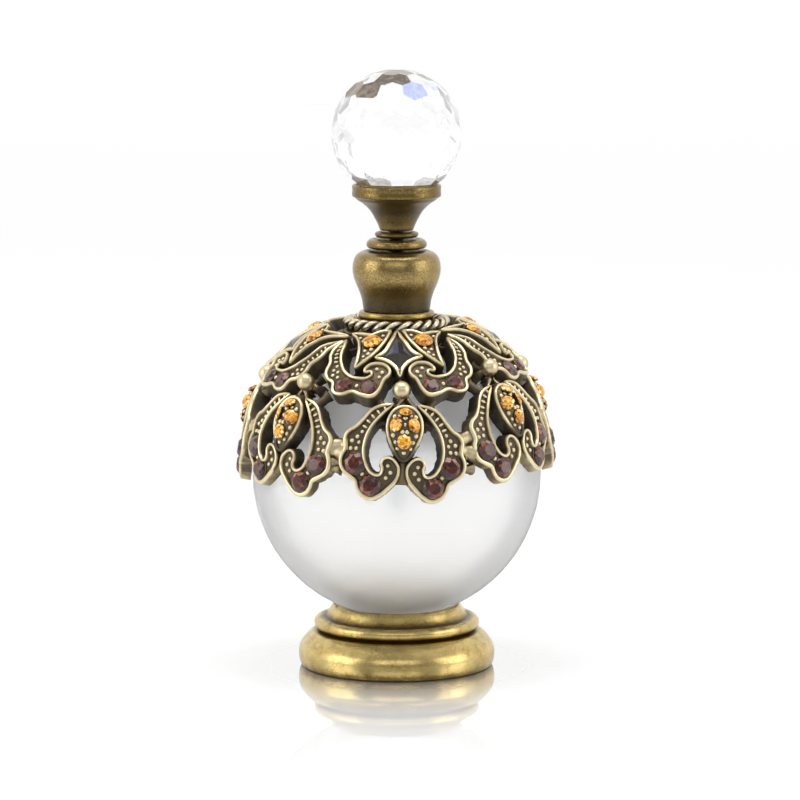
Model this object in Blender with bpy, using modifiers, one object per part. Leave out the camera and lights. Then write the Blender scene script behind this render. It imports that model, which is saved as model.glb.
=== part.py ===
"""Stoppered perfume bottle: a frosted globe on a turned brass foot, a cage of scroll castings
over its shoulder, and a screw stopper with a faceted crystal ball and a glass applicator rod.

Metres, +Z up. The axis is x = y = 0 and the foot stands on z = 0. Dimensions below are in
millimetres, and every function takes millimetres.
"""
import math

import bmesh
import bpy
from mathutils import Quaternion, Vector

MM = 0.001
GAP = 0.3              # clearance between pieces that touch
STEPS = 24             # sides of a turned piece

# Glass
GLOBE_R = 28.0
GLOBE_Z = 37.7         # height of the globe's centre
WALL = 2.8
BORE_R = 3.0
NECK_R = 4.4
THREAD_R = 4.95
MOUTH_Z = 76.2

# Foot
FOOT_R = 19.15
CUP_R = 12.3

# Stopper
URN_R = 8.55
URN_BOTTOM_Z = 70.0
URN_TOP_Z = 81.3
LARGE_RING_TOP_Z = 83.45
SMALL_RING_TOP_Z = 84.9
STUD_R = 1.25
DISH_R = 8.6
DISH_Z = 94.0
CRYSTAL_R = 12.5
CRYSTAL_Z = 103.8

# Applicator
ROD_R = 1.2
ROD_TIP_Z = 31.0

# Collar and rope
FLANGE_R = 7.3
FLANGE_TOP_Z = 69.4
COLLAR_R = 10.5
COLLAR_Z = 65.8
ROPE_R = 9.2
WIRE_R = 1.2

# Cage: castings are drawn flat (u sideways, v up, on the sphere) and wrapped round the globe.
# Each was soldered on by hand: (azimuth, latitude, roll) in degrees, azimuth 0 at the front
LOWER_PLACES = (
    (2.3, 11.7, -3.3), (53.0, 17.5, 4.2), (105.0, 15.2, 1.0), (156.0, 14.4, 0.0),
    (-152.0, 13.2, 0.0), (-101.5, 11.6, -1.5), (-47.7, 12.9, -5.0),
)
UPPER_PLACES = ((1.6, 41.2, 1.5), (92.0, 45.0, 2.0), (-176.0, 43.6, 0.0), (-84.5, 41.6, -5.0))
LOWER_WRAP_R = 31.6
LOWER_INNER_R = GLOBE_R + 0.4
UPPER_WRAP_R = 32.8
UPPER_INNER_R = GLOBE_R + 1.5
UPPER_TOP_R = 32.5
HANGER_LATITUDE = 68.6  # the strip that hangs an upper casting ends here, under the collar
WRAP_CELL = 7.0        # flat plates are cut into cells of this size before they are wrapped
BEAD_R = 1.75
BEAD_LEVEL = 0.62      # height of a bead's centre, as a share of an upper casting's depth
BROWN_R = 2.05
BROWN_PLACES = ((9.4, -0.15), (6.35, -4.3))
SIDE_BEADS = ((), ((-15.7, 4.6), (17.6, 1.1)), (), ((-17.6, 0.4), (17.0, 4.3)))

# Outlines of the right half, in surface millimetres. A corner point is marked True.
DROP = ((0.0, 11.0), (1.7, 10.5), (2.9, 9.2), (3.45, 7.4), (3.3, 5.5), (2.6, 3.4), (1.7, 1.4))
LOWER_SCROLL = (
    (2.5, 11.5, True), (5.3, 11.0), (7.8, 8.7), (9.3, 6.9), (10.7, 6.2), (11.45, 4.6),
    (11.3, 2.7), (12.2, 0.6), (11.3, -1.9), (9.3, -3.2), (8.3, -5.7), (6.2, -6.8),
    (4.1, -5.9), (1.3, -3.1), (1.1, -0.4), (2.6, 1.15), (4.1, 0.6), (4.0, -1.3), (4.9, -2.2),
    (6.9, -1.0), (7.7, 2.6), (6.4, 7.2), (4.0, 9.9),
)
UPPER_SCROLL = (
    (10.2, 12.9, True), (12.3, 11.7), (13.6, 8.2), (14.6, 5.0), (13.3, 2.4), (12.8, -0.8),
    (9.4, -1.3), (7.4, -2.5), (5.4, -3.0), (4.1, -1.9), (3.1, 0.1), (1.9, 1.7), (2.9, 3.7),
    (5.2, 4.1), (6.6, 2.8), (5.4, 2.3), (5.6, 1.3), (8.2, 1.4), (10.6, 3.6), (11.2, 8.0),
)
LEAF = (
    (8.5, 4.0, True), (5.3, 6.3), (3.3, 8.7), (2.0, 11.2), (1.3, 13.5, True), (3.0, 13.6),
    (4.9, 12.7, True), (6.6, 13.7), (8.8, 14.8, True), (7.8, 12.4), (7.5, 9.4), (7.9, 6.4),
)
STAR = (
    (0.0, 0.5, True), (0.9, 2.8), (2.2, 4.5), (4.3, 5.7, True), (2.7, 7.0), (1.5, 9.4),
    (0.0, 13.2, True), (-1.5, 9.4), (-2.7, 7.0), (-4.3, 5.7, True), (-2.2, 4.5), (-0.9, 2.8),
)


# ---------------------------------------------------------------- scene and helpers

for old in list(bpy.data.objects):
    bpy.data.objects.remove(old, do_unlink=True)

parts = bpy.data.collections.new("perfume_bottle")
bpy.context.scene.collection.children.link(parts)


def material(name, colour, roughness, metallic=0.0, transmission=0.0):
    mat = bpy.data.materials.new(name)
    mat.use_nodes = True
    shader = mat.node_tree.nodes["Principled BSDF"]
    shader.inputs["Base Color"].default_value = (*colour, 1.0)
    shader.inputs["Roughness"].default_value = roughness
    shader.inputs["Metallic"].default_value = metallic
    shader.inputs["Transmission Weight"].default_value = transmission
    mat.diffuse_color = (*colour, 1.0)
    return mat


BRASS = material("antique_brass", (0.42, 0.32, 0.15), 0.38, 1.0)
GOLD = material("golden_brass", (0.62, 0.48, 0.24), 0.32, 1.0)
CASTING = material("cast_brass", (0.60, 0.54, 0.38), 0.40, 1.0)
FROSTED = material("frosted_glass", (0.93, 0.94, 0.94), 0.45, 0.0, 0.7)
CLEAR = material("crystal", (0.97, 0.97, 0.98), 0.02, 0.0, 1.0)
PLASTIC = material("natural_plastic", (0.85, 0.84, 0.80), 0.45)
SEAL = material("seal_foam", (0.80, 0.80, 0.78), 0.7)
FELT = material("dark_felt", (0.05, 0.045, 0.04), 0.95)
SMOKY = material("smoky_stone", (0.10, 0.09, 0.10), 0.06)
BROWN = material("brown_stone", (0.17, 0.05, 0.03), 0.05)


def add_object(name, mesh, mat, smooth_angle=40.0):
    """Link a mesh as one of the bottle's pieces."""
    mesh.materials.clear()
    mesh.materials.append(mat)
    mesh.shade_smooth()
    mesh.set_sharp_from_angle(angle=math.radians(smooth_angle))
    piece = bpy.data.objects.new(name, mesh)
    parts.objects.link(piece)
    return piece


def evaluated_mesh(source):
    """The mesh of an object with its modifiers, as a mesh of its own; the object is removed."""
    graph = bpy.context.evaluated_depsgraph_get()
    mesh = bpy.data.meshes.new_from_object(source.evaluated_get(graph))
    data = source.data
    bpy.data.objects.remove(source, do_unlink=True)
    if isinstance(data, bpy.types.Curve):
        bpy.data.curves.remove(data)
    else:
        bpy.data.meshes.remove(data)
    return mesh


def working_object(name, data):
    piece = bpy.data.objects.new(name, data)
    bpy.context.scene.collection.objects.link(piece)
    return piece


def turned(name, profile, mat, closed=False, steps=STEPS):
    """A turned piece. profile lists (radius, height), down the outer side."""
    mesh = bpy.data.meshes.new(name)
    points = [(r * MM, 0.0, z * MM) for r, z in profile]
    edges = [(i, i + 1) for i in range(len(points) - 1)]
    if closed:
        edges.append((len(points) - 1, 0))
    mesh.from_pydata(points, edges, [])
    piece = add_object(name, mesh, mat)
    screw = piece.modifiers.new("turn", "SCREW")
    screw.steps = screw.render_steps = steps
    screw.use_merge_vertices = True
    screw.merge_threshold = 1e-6
    screw.use_smooth_shade = True
    return piece


def arc(radius, centre_r, centre_z, start, end, count):
    """Points (r, z) on an arc; angles in degrees, 0 is outward and 90 is up."""
    points = []
    for i in range(count + 1):
        angle = math.radians(start + (end - start) * i / count)
        points.append((centre_r + radius * math.cos(angle), centre_z + radius * math.sin(angle)))
    return points


# ---------------------------------------------------------------- flat plates, wrapped

def mirrored(outline):
    return [(-p[0], *p[1:]) for p in reversed(outline)]


def flat_plate(name, outline, low, high):
    """A closed flat plate between two heights, from an outline of smooth and corner points."""
    curve = bpy.data.curves.new(name, "CURVE")
    curve.dimensions = "2D"
    curve.fill_mode = "BOTH"
    curve.extrude = (high - low) / 2
    curve.resolution_u = 1
    spline = curve.splines.new("BEZIER")
    spline.bezier_points.add(len(outline) - 1)
    spline.use_cyclic_u = True
    for place, point in zip(spline.bezier_points, outline):
        place.co = (point[0], point[1], 0.0)
        kind = "VECTOR" if len(point) == 3 else "AUTO"
        place.handle_left_type = place.handle_right_type = kind
    mesh = evaluated_mesh(working_object(name, curve))
    shape = bmesh.new()
    shape.from_mesh(mesh)
    bmesh.ops.translate(shape, verts=shape.verts, vec=(0.0, 0.0, (low + high) / 2))
    bmesh.ops.remove_doubles(shape, verts=shape.verts, dist=1e-4)
    bmesh.ops.recalc_face_normals(shape, faces=shape.faces)
    shape.to_mesh(mesh)
    shape.free()
    return working_object(name, mesh)


def bar(name, start, end, width, low, high):
    """A straight flat bar between two points, as an object of its own."""
    start, end = Vector(start), Vector(end)
    along = (end - start).normalized()
    side = Vector((-along.y, along.x)) * width / 2
    corners = (start - side, end - side, end + side, start + side)
    return flat_plate(name, [(c.x, c.y, True) for c in corners], low, high)


def united(pieces):
    """One mesh: the union of the working objects, which are removed."""
    base = pieces[0]
    for other in pieces[1:]:
        join = base.modifiers.new("join", "BOOLEAN")
        join.operation = "UNION"
        join.solver = "EXACT"
        join.object = other
    mesh = evaluated_mesh(base)
    for other in pieces[1:]:
        data = other.data
        bpy.data.objects.remove(other, do_unlink=True)
        bpy.data.meshes.remove(data)
    return mesh


def surface_frame(place):
    """Outward, sideways and upward directions at a place (azimuth, latitude, roll)."""
    azimuth, latitude, roll = (math.radians(angle) for angle in place)
    out = Vector((math.sin(azimuth) * math.cos(latitude), -math.cos(azimuth) * math.cos(latitude),
                  math.sin(latitude)))
    side = Vector((math.cos(azimuth), math.sin(azimuth), 0.0))
    side.rotate(Quaternion(out, roll))
    return out, side, out.cross(side)


def wrap_point(u, v, radius, place, wrap_r):
    """The point at distance (u, v) over the sphere from a place, at a distance from the centre."""
    out, side, up = surface_frame(place)
    distance = math.hypot(u, v)
    direction = out
    if distance > 1e-9:
        angle = distance / wrap_r
        direction = out * math.cos(angle) + (side * u + up * v) * math.sin(angle) / distance
    return (direction * radius + Vector((0.0, 0.0, GLOBE_Z))) * MM


def wrapped(mesh, radius_at, place, wrap_r):
    """Cut a flat mesh into cells and wrap it: u, v over the sphere, height 0 to 1 outward."""
    shape = bmesh.new()
    shape.from_mesh(mesh)
    for axis in (0, 1):
        low = min(v.co[axis] for v in shape.verts)
        high = max(v.co[axis] for v in shape.verts)
        normal = [0.0, 0.0, 0.0]
        normal[axis] = 1.0
        for i in range(math.ceil(low / WRAP_CELL), math.floor(high / WRAP_CELL) + 1):
            cut = [0.0, 0.0, 0.0]
            cut[axis] = i * WRAP_CELL + 0.013
            geometry = shape.verts[:] + shape.edges[:] + shape.faces[:]
            bmesh.ops.bisect_plane(shape, geom=geometry, dist=1e-4, plane_co=cut, plane_no=normal)
    bmesh.ops.dissolve_degenerate(shape, edges=shape.edges, dist=0.02)
    bmesh.ops.triangulate(shape, faces=shape.faces)
    for vert in shape.verts:
        u, v, height = vert.co
        vert.co = wrap_point(u, v, radius_at(v, height), place, wrap_r)
    bmesh.ops.recalc_face_normals(shape, faces=shape.faces)
    shape.to_mesh(mesh)
    shape.free()
    return mesh


# ---------------------------------------------------------------- bottle

def globe_height(radius, sphere_r=GLOBE_R):
    """Height of the top of a sphere round the globe's centre, at a distance from the axis."""
    return GLOBE_Z + math.sqrt(sphere_r ** 2 - radius ** 2)


def glass_bottle():
    inner_r = GLOBE_R - WALL
    inner = arc(inner_r, 0.0, GLOBE_Z, -90.0, math.degrees(math.acos(BORE_R / inner_r)), 12)
    neck_root = math.degrees(math.acos((NECK_R + 0.9) / GLOBE_R))
    outer = arc(GLOBE_R, 0.0, GLOBE_Z, neck_root, -90.0, 15)
    inner[0] = (0.0, inner[0][1])
    outer[-1] = (0.0, outer[-1][1])
    finish = [(BORE_R, MOUTH_Z), (NECK_R, MOUTH_Z)]
    for top in (MOUTH_Z - 1.0, MOUTH_Z - 2.8, MOUTH_Z - 4.6):
        finish += [(NECK_R, top), (THREAD_R, top - 0.5), (NECK_R, top - 1.0)]
    finish.append((NECK_R, globe_height(NECK_R) + 0.9))
    return turned("glass_bottle", inner + finish + outer, FROSTED, steps=28)


def base_foot():
    seat_r = GLOBE_R + 0.6
    seat = [(r, 2 * GLOBE_Z - globe_height(r, seat_r)) for r in (0.0, 4.0, 8.0, 11.7)]
    profile = seat + [
        (CUP_R, 12.1), (13.1, 10.9), (13.9, 9.6), (15.0, 9.6), (15.8, 9.2), (16.15, 8.5),
        (15.9, 7.7), (15.2, 7.2), (16.2, 6.95), (17.0, 6.5), (17.9, 5.5), (18.6, 4.6),
        (FOOT_R - 0.1, 3.5), (FOOT_R, 2.4), (FOOT_R - 0.15, 1.2), (FOOT_R - 0.65, 0.0),
        (16.9, 0.0), (16.9, 1.8), (15.2, 1.8), (14.2, 5.6), (11.6, 7.0), (0.0, 6.6),
    ]
    return turned("base_foot", profile, GOLD, steps=32)


def base_pad():
    return turned("base_pad", [(0.0, 1.4), (16.5, 1.4), (16.5, 0.3), (0.0, 0.3)], FELT)


def neck_collar():
    profile = [
        (5.4, FLANGE_TOP_Z), (FLANGE_R - 0.3, FLANGE_TOP_Z), (FLANGE_R, 69.1), (FLANGE_R, 68.3),
        (6.7, 67.9), (6.7, COLLAR_Z), (COLLAR_R, COLLAR_Z), (COLLAR_R, COLLAR_Z - 0.7),
        (5.4, COLLAR_Z - 0.25),
    ]
    return turned("neck_collar", profile, GOLD, closed=True)


def rope_ring():
    section = arc(WIRE_R, ROPE_R, COLLAR_Z + GAP + WIRE_R, 90.0, -270.0, 8)[:-1]
    return turned("rope_ring", section, CASTING, closed=True)


# ---------------------------------------------------------------- cage castings

def lower_top_r(v):
    """Distance from the globe's centre to a lower casting's face, rising towards the neck."""
    return 30.2 + 1.3 * min(max((v + 7.0) / 18.0, 0.0), 1.0)


def lower_radius(v, height):
    return LOWER_INNER_R + height * (lower_top_r(v) - LOWER_INNER_R)


def upper_radius(v, height):
    del v
    return UPPER_INNER_R + height * (UPPER_TOP_R - UPPER_INNER_R)


def lower_casting(index):
    """A raised drop between two mirrored scrolls."""
    drop = list(DROP) + [(-u, v) for u, v in reversed(DROP[1:])]
    pieces = [
        flat_plate("scroll", LOWER_SCROLL, 0.0, 1.0),
        flat_plate("scroll", mirrored(LOWER_SCROLL), 0.0, 1.0),
        flat_plate("drop", drop, 0.0, 1.3),
        bar("tail_bar", (-3.4, 10.4), (3.4, 10.4), 1.0, 0.1, 0.8),
        bar("head_bar", (0.0, 2.4), (0.0, -3.2), 2.7, 0.1, 0.85),
    ]
    mesh = wrapped(united(pieces), lower_radius, LOWER_PLACES[index], LOWER_WRAP_R)
    return add_object(f"lower_scrolls_{index + 1}", mesh, CASTING, 30.0)


def stone(name, spot, radius, face_r, place, wrap_r, mat):
    """A round faceted stone standing on a casting's face, at a spot (u, v) of it."""
    centre = wrap_point(*spot, face_r + GAP, place, wrap_r)
    shape = bmesh.new()
    bmesh.ops.create_cone(shape, cap_ends=True, segments=8, radius1=radius * MM,
                          radius2=radius * 0.55 * MM, depth=1.1 * MM)
    outward = (centre - Vector((0.0, 0.0, GLOBE_Z * MM))).normalized()
    turn = Vector((0.0, 0.0, 1.0)).rotation_difference(outward).to_matrix()
    bmesh.ops.rotate(shape, verts=shape.verts, matrix=turn)
    bmesh.ops.translate(shape, verts=shape.verts, vec=centre + outward * 0.55 * MM)
    mesh = bpy.data.meshes.new(name)
    shape.to_mesh(mesh)
    shape.free()
    return add_object(name, mesh, mat, 10.0)


def brown_stones(index):
    """Two brown stones on each scroll of a lower casting."""
    label = "abcd"
    spots = list(BROWN_PLACES) + [(-u, v) for u, v in BROWN_PLACES]
    for letter, spot in zip(label, spots):
        stone(f"brown_stone_{index + 1}{letter}", spot, BROWN_R, lower_top_r(spot[1]),
              LOWER_PLACES[index], LOWER_WRAP_R, BROWN)


def bead(spot):
    """A ball bead as a flat-space working object, before wrapping."""
    mesh = bpy.data.meshes.new("bead")
    shape = bmesh.new()
    bmesh.ops.create_uvsphere(shape, u_segments=8, v_segments=5, radius=BEAD_R)
    depth = UPPER_TOP_R - UPPER_INNER_R
    bmesh.ops.scale(shape, verts=shape.verts, vec=(1.0, 1.0, 1.0 / depth))
    bmesh.ops.translate(shape, verts=shape.verts, vec=(*spot, BEAD_LEVEL))
    shape.to_mesh(mesh)
    shape.free()
    return working_object("bead", mesh)


def upper_casting(index):
    """A star frame with a bead under it, two leaves and two scrolls, some with side beads."""
    reach = math.radians(HANGER_LATITUDE - UPPER_PLACES[index][1]) * UPPER_WRAP_R
    pieces = [
        flat_plate("scroll", UPPER_SCROLL, 0.0, 1.0),
        flat_plate("scroll", mirrored(UPPER_SCROLL), 0.0, 1.0),
        flat_plate("leaf", LEAF, 0.0, 1.0),
        flat_plate("leaf", mirrored(LEAF), 0.0, 1.0),
        flat_plate("star", STAR, 0.0, 0.9),
        bead((0.2, -1.9)),
        bar("bead_stem", (0.0, -1.6), (0.0, 2.0), 1.1, 0.1, 0.7),
        bar("head_bar", (-3.4, 1.6), (3.4, 1.6), 1.0, 0.1, 0.7),
        bar("shoulder_bar", (-7.0, 10.9), (7.0, 10.9), 1.1, 0.1, 0.7),
        bar("hanger", (0.0, 11.0), (0.0, reach), 2.4, 0.1, 0.6),
    ]
    for way in (-1.0, 1.0):
        pieces.append(bar("tip_bar", (way * 7.9, 5.2), (way * 10.2, 2.2), 1.0, 0.1, 0.8))
    for spot in SIDE_BEADS[index]:
        root = (math.copysign(12.2, spot[0]), spot[1] * 0.6 + 0.6)
        pieces += [bead(spot), bar("side_stem", root, spot, 1.1, 0.1, 0.7)]
    mesh = wrapped(united(pieces), upper_radius, UPPER_PLACES[index], UPPER_WRAP_R)
    return add_object(f"upper_scrolls_{index + 1}", mesh, CASTING, 30.0)


def star_stone(index):
    middle = 6.3
    shrunk = [(p[0] * 0.72, middle + (p[1] - middle) * 0.72, *p[2:]) for p in STAR]
    plate = flat_plate("stone", shrunk, 1.02, 1.35)
    data = plate.data
    bpy.data.objects.remove(plate, do_unlink=True)
    mesh = wrapped(data, upper_radius, UPPER_PLACES[index], UPPER_WRAP_R)
    return add_object(f"star_stone_{index + 1}", mesh, SMOKY, 20.0)


# ---------------------------------------------------------------- stopper

def cap_urn():
    """Hollow urn, open underneath, with a hole on top for the stud."""
    outer = [
        (5.9, URN_TOP_Z), (7.2, 80.9), (8.1, 80.0), (8.45, 78.9), (URN_R, 77.75), (8.45, 76.6),
        (8.05, 75.4), (7.4, 73.7), (6.95, 72.5), (6.65, 71.3), (6.5, URN_BOTTOM_Z),
    ]
    inner = [(5.95, URN_BOTTOM_Z), (5.95, 78.9), (5.4, 80.0), (STUD_R + GAP, 80.0)]
    return turned("cap_urn", [(STUD_R + GAP, URN_TOP_Z)] + outer + inner, BRASS, closed=True)


def cap_liner():
    """Plastic sleeve that screws onto the neck; its thread is drawn as a plain bore."""
    low = URN_BOTTOM_Z + 0.3
    profile = [(5.3, 78.6), (5.6, 78.6), (5.6, low), (5.3, low)]
    return turned("cap_liner", profile, PLASTIC, closed=True, steps=20)


def large_ring():
    low, high, bore = URN_TOP_Z + GAP, LARGE_RING_TOP_Z, STUD_R + GAP
    profile = [
        (bore, high), (4.9, high), (5.6, high - 0.35), (5.9, high - 1.0), (5.6, low + 0.25),
        (5.1, low), (bore, low),
    ]
    return turned("large_ring", profile, BRASS, closed=True, steps=20)


def small_ring():
    low, high, bore = LARGE_RING_TOP_Z + GAP, SMALL_RING_TOP_Z, STUD_R + GAP
    profile = [
        (bore, high), (3.7, high), (4.2, high - 0.35), (4.25, high - 0.8), (3.8, low), (bore, low),
    ]
    return turned("small_ring", profile, BRASS, closed=True, steps=20)


def ball_cup():
    """Dish on a flared stem, with a blind hole underneath for the stud."""
    bottom = SMALL_RING_TOP_Z + GAP
    profile = [
        (0.0, DISH_Z - 1.2), (7.4, DISH_Z - 1.0), (8.1, DISH_Z), (DISH_R, DISH_Z - 0.1),
        (DISH_R, 92.0), (8.3, 91.7), (7.2, 90.9), (6.0, 89.9), (5.0, 88.7), (4.2, 87.3),
        (3.6, 86.2), (3.25, bottom), (STUD_R + GAP, bottom), (STUD_R + GAP, 90.3), (0.0, 90.3),
    ]
    return turned("ball_cup", profile, BRASS)


def cap_stud():
    """Threaded stud with a head inside the urn."""
    return turned("cap_stud", [
        (0.0, 90.0), (STUD_R, 90.0), (STUD_R, 79.6), (0.0, 79.6),
    ], BRASS, steps=12)


def crystal_ball():
    """Ball cut in staggered rows of facets, with a flat where it is glued to the dish."""
    shape = bmesh.new()
    bmesh.ops.create_icosphere(shape, subdivisions=3, radius=CRYSTAL_R * MM)
    bmesh.ops.translate(shape, verts=shape.verts, vec=(0.0, 0.0, CRYSTAL_Z * MM))
    flat_z = (DISH_Z + GAP) * MM
    geometry = shape.verts[:] + shape.edges[:] + shape.faces[:]
    cut = bmesh.ops.bisect_plane(shape, geom=geometry, dist=1e-6, plane_co=(0.0, 0.0, flat_z),
                                 plane_no=(0.0, 0.0, -1.0), clear_outer=True)
    rim = [item for item in cut["geom_cut"] if isinstance(item, bmesh.types.BMEdge)]
    bmesh.ops.contextual_create(shape, geom=rim)
    bmesh.ops.recalc_face_normals(shape, faces=shape.faces)
    mesh = bpy.data.meshes.new("crystal_ball")
    shape.to_mesh(mesh)
    shape.free()
    return add_object("crystal_ball", mesh, CLEAR, 5.0)


# ---------------------------------------------------------------- applicator

def rod_plug():
    """Plug inside the top of the liner, bored for the rod."""
    low, bore = 77.9, ROD_R + GAP
    profile = [
        (0.0, 79.3), (4.6, 79.3), (4.8, 79.0), (4.8, low), (bore, low), (bore, 78.9), (0.0, 78.9),
    ]
    return turned("rod_plug", profile, PLASTIC, steps=16)


def seal_washer():
    low, high = MOUTH_Z + GAP, 77.6
    profile = [(ROD_R + GAP, high), (4.7, high), (4.7, low), (ROD_R + GAP, low)]
    return turned("seal_washer", profile, SEAL, closed=True, steps=16)


def glass_rod():
    tip = arc(1.7, 0.0, ROD_TIP_Z + 1.7, 50.0, -90.0, 5)
    tip[-1] = (0.0, tip[-1][1])
    profile = [(0.0, 78.6), (ROD_R, 78.6), (ROD_R, ROD_TIP_Z + 4.2)] + tip
    return turned("glass_rod", profile, CLEAR, steps=12)


# ---------------------------------------------------------------- build

for make in (glass_bottle, base_foot, base_pad, neck_collar, rope_ring, cap_urn, cap_liner,
             large_ring, small_ring, ball_cup, cap_stud, crystal_ball, rod_plug, seal_washer,
             glass_rod):
    make()

for number in range(len(LOWER_PLACES)):
    lower_casting(number)
    brown_stones(number)

for number in range(len(UPPER_PLACES)):
    upper_casting(number)
    star_stone(number)
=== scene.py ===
"""Looks of the stoppered perfume bottle: frosted globe, turned brass foot and stopper, crystal
ball, and the jewelled cage of castings over the globe's shoulder.

Shapes are written in millimetres in the part's frame and made in metres. Places come from the
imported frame: the globe from its glass, each casting's direction from its stones.
"""
import math
import random

import bmesh
import bpy
from mathutils import Matrix, Vector, geometry, noise


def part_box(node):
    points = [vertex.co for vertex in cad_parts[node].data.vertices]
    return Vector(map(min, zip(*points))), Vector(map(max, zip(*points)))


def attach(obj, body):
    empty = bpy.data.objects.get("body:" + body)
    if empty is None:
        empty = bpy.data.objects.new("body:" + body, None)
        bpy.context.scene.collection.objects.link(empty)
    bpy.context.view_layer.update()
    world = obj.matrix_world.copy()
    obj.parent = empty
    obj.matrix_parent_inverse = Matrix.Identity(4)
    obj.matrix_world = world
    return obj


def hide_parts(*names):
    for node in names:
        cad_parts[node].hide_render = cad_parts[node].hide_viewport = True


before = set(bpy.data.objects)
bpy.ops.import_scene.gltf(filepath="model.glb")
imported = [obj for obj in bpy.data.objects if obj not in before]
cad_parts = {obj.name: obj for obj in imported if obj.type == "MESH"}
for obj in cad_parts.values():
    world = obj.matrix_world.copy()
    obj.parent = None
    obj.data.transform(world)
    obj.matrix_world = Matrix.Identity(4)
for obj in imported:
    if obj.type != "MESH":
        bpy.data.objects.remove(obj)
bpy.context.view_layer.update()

MM = 0.001
UP = Vector((0.0, 0.0, 1.0))
TURN_STEPS = 96                     # sides of a turned piece

# The globe, read from the frame
glass_low, glass_high = (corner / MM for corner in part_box("glass_bottle"))
GLOBE_R = glass_high.x
GLOBE_Z = glass_low.z + GLOBE_R
MOUTH_Z = glass_high.z
GLOBE = Vector((0.0, 0.0, GLOBE_Z))
SHADE_BAND_Z = 19.5                       # height of the globe's greyer band

# Cage: castings are drawn flat (u sideways, v up) and wrapped round the globe
LOWER_COUNT = 7
LOWER_WRAP_R, UPPER_WRAP_R = 31.6, 32.8
STONE_V, STAR_TIP_V = -0.15, 2.12   # heights of the outermost brown stones and the star's tip
OUTLINE_STEP = 0.32                 # spacing of points along an outline
FIELD_STEP = 0.95                   # spacing of points inside a field
RIM_HALF = 0.33                     # half the width of a raised rim
RIM_RISE = 0.70                     # rim above the field
LOBE_LIP = 0.85                     # how much wider a rim is round the bottom of a lobe
BEAD_R, BEAD_LEVEL = 1.8, 31.9
BROWN_R = 2.05
GIRDLE_DROP = 0.80                  # a CAD brown stone's middle above the drawn one's girdle


# ---- materials

def node(tree, kind, inputs=None, **settings):
    """Add a shader node; an input is either a constant or another node's output."""
    made = tree.nodes.new("ShaderNode" + kind)
    for key, value in settings.items():
        setattr(made, key, value)
    for socket, value in (inputs or {}).items():
        if isinstance(value, bpy.types.NodeSocket):
            tree.links.new(value, made.inputs[socket])
        else:
            made.inputs[socket].default_value = value
    return made


def new_material(name, **constants):
    """A material and its Principled shader; constants are set on the shader's own sockets."""
    mat = bpy.data.materials.new(name)
    mat.use_nodes = True
    shader = mat.node_tree.nodes["Principled BSDF"]
    for socket, value in constants.items():
        shader.inputs[socket.replace("_", " ")].default_value = value
    return mat, mat.node_tree, shader


def coordinates(tree):
    return node(tree, "TexCoord").outputs["Object"]


def noise_map(tree, size, detail=3.0, roughness=0.6):
    """Noise whose features are about size millimetres across."""
    return node(tree, "TexNoise", {
        "Vector": coordinates(tree), "Scale": 1.0 / (size * MM), "Detail": detail,
        "Roughness": roughness}).outputs["Fac"]


def clamped(value):
    return min(1.0, max(0.0, value))


def math_node(tree, operation, first, second, clamp=False):
    return node(tree, "Math", {0: first, 1: second}, operation=operation,
                use_clamp=clamp).outputs[0]


def centred(tree, value, amount):
    """value - 0.5, times an amount."""
    return math_node(tree, "MULTIPLY", math_node(tree, "SUBTRACT", value, 0.5), amount)


def ramp(tree, factor, stops):
    """Colour ramp through (position, colour) stops; a plain number makes a grey."""
    made = node(tree, "ValToRGB", {"Fac": factor})
    elements = made.color_ramp.elements
    while len(elements) < len(stops):
        elements.new(0.5)
    for element, (position, colour) in zip(elements, stops):
        element.position = position
        grey = isinstance(colour, float)
        element.color = (colour, colour, colour, 1.0) if grey else (*colour, 1.0)
    return made.outputs["Color"]


def paint(tree, shader, socket, factor, stops):
    """Drive a shader's socket by a ramp."""
    tree.links.new(ramp(tree, factor, stops), shader.inputs[socket])


def attribute(tree, name):
    return node(tree, "Attribute", attribute_name=name).outputs["Fac"]


def bump(tree, shader, height, strength, distance):
    made = node(tree, "Bump", {"Height": height, "Strength": strength, "Distance": distance * MM})
    tree.links.new(made.outputs["Normal"], shader.inputs["Normal"])


def brass(name, colours, roughness, speckle, mottle, grain):
    """Antiqued brass: pale where its attribute is high, patina where it is low; the attribute holds
    wear and patina, and on some pieces painted shade and painted light.

    colours are the patina, half-worn and worn colours; speckle and mottle say how far fine and
    broad noise shift the wear; grain is the size of the fine noise.
    """
    mat, tree, shader = new_material(name)
    fine = noise_map(tree, grain, 4.0, 0.7)
    broad = noise_map(tree, grain * 9.0, 3.0)
    amount = math_node(tree, "ADD", attribute(tree, "wear"), centred(tree, fine, speckle))
    amount = math_node(tree, "ADD", amount, centred(tree, broad, mottle), clamp=True)
    paint(tree, shader, "Base Color", amount, list(zip((0.0, 0.5, 1.0), colours)))
    paint(tree, shader, "Metallic", amount, [(0.0, 0.25), (0.45, 1.0)])
    paint(tree, shader, "Roughness", amount, list(zip((0.0, 1.0), roughness)))
    bump(tree, shader, fine, 0.35, 0.05)
    return mat


def gem(name, stops, cloud):
    """Foil-backed cut stone, drawn opaque: each facet's colour is painted with its share of the light
    inside the stone, with painted glints and reflections.

    cloud is how far the painted light wanders inside a facet.
    """
    mat, tree, shader = new_material(name, Roughness=0.06, IOR=1.58)
    inner = centred(tree, noise_map(tree, 0.55, 2.0), cloud)
    amount = math_node(tree, "ADD", attribute(tree, "facet_light"), inner, clamp=True)
    paint(tree, shader, "Base Color", amount, stops)
    return mat


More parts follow.
